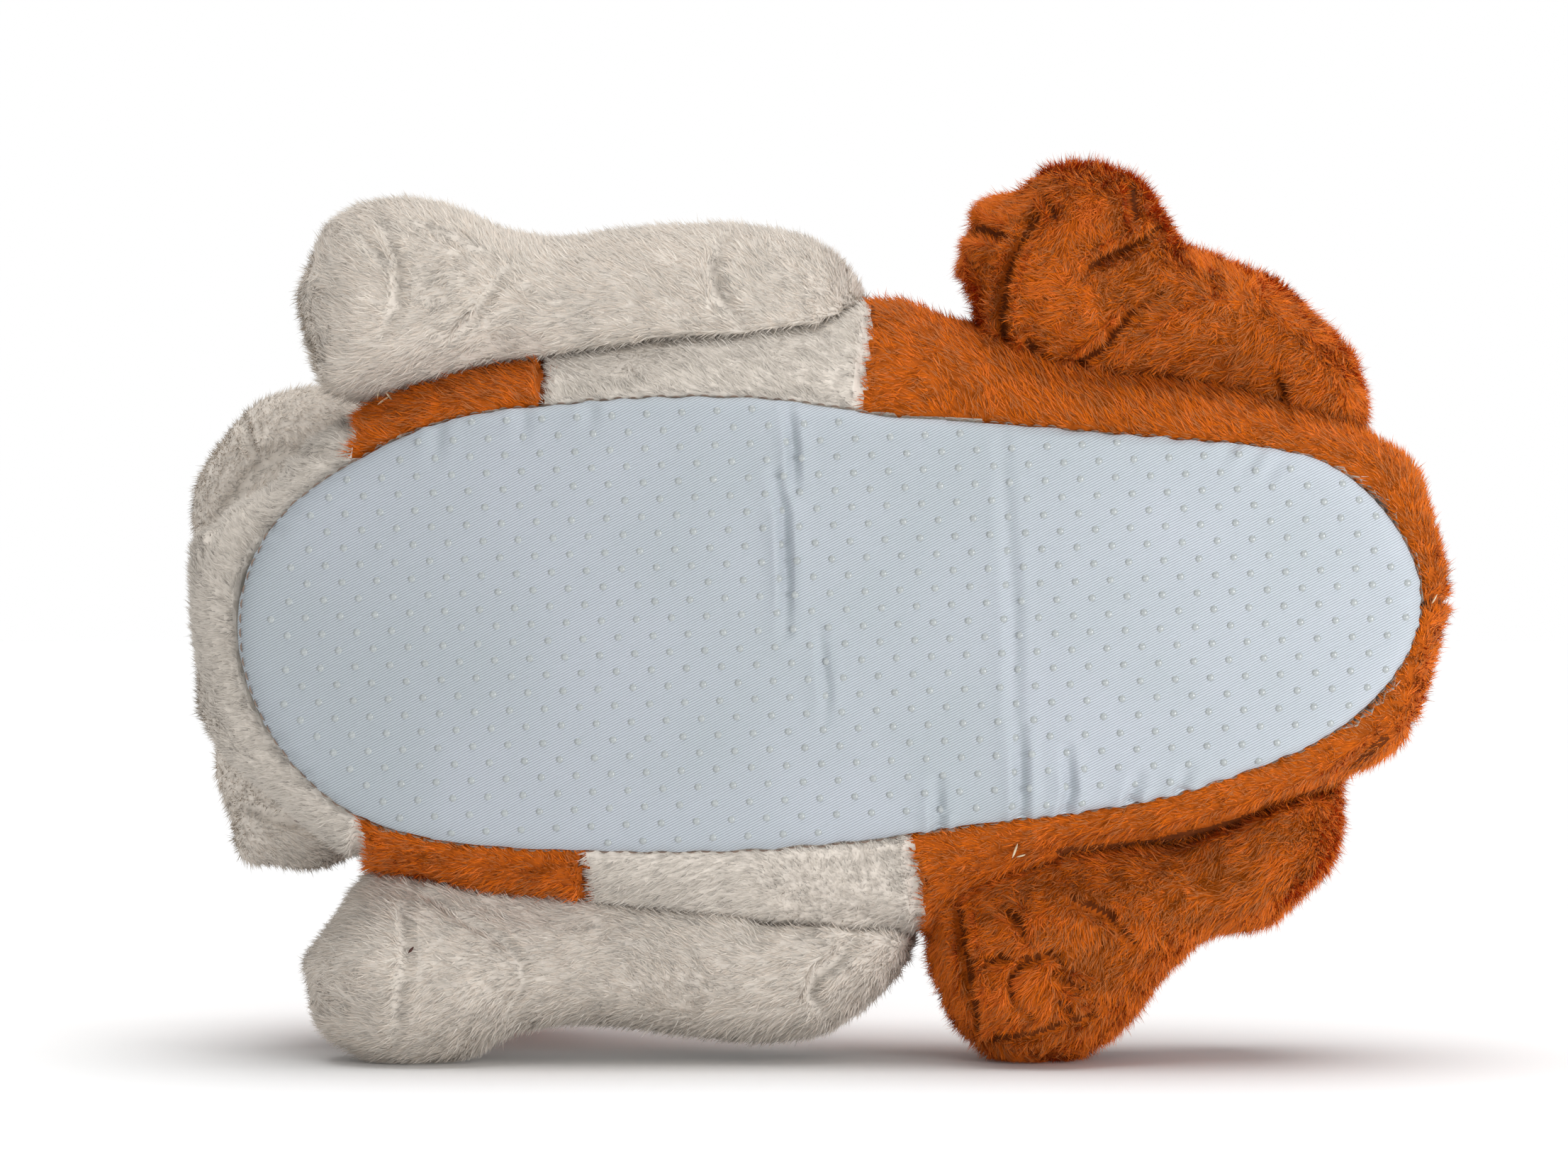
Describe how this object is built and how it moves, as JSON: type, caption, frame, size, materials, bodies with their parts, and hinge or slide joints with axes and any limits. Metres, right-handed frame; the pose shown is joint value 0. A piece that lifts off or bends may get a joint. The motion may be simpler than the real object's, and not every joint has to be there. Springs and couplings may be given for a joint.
{
  "type": "animal slipper",
  "caption": "Plush animal slipper lying on its side, with a cushioned anti-slip sole, a hollow padded upper, a stuffed head with drop ears and stuffed legs.",
  "frame": {"origin": "on the floor under the middle of the box of the slipper as it lies on its right side", "axes": "+X from toe to heel, +Y the shoe's up, from tread to collar, +Z the wearer's left, which is up as it lies"},
  "size_m": [0.3058, 0.136, 0.2177],
  "materials": {
    "sole_cloth": "pale blue-grey twill with small clear anti-slip dots",
    "footbed_plush": "short cream plush",
    "plush_brown": "short orange-brown plush with a silky nap",
    "plush_cream": "short cream plush with a soft nap",
    "nose_cloth": "short dark velvet",
    "eye_plastic": "glossy black"
  },
  "bodies": {
    "root": {"sole": "sole_cloth", "insole": "footbed_plush", "upper": "plush_brown", "head": "plush_brown", "muzzle": "plush_cream", "nose": "nose_cloth", "eye_left": "eye_plastic", "eye_right": "eye_plastic", "ear_left": "plush_brown", "ear_right": "plush_brown", "front_leg_left": "plush_cream", "front_leg_right": "plush_cream", "hind_leg_left": "plush_brown", "hind_leg_right": "plush_brown"}
  },
  "joints": []
}
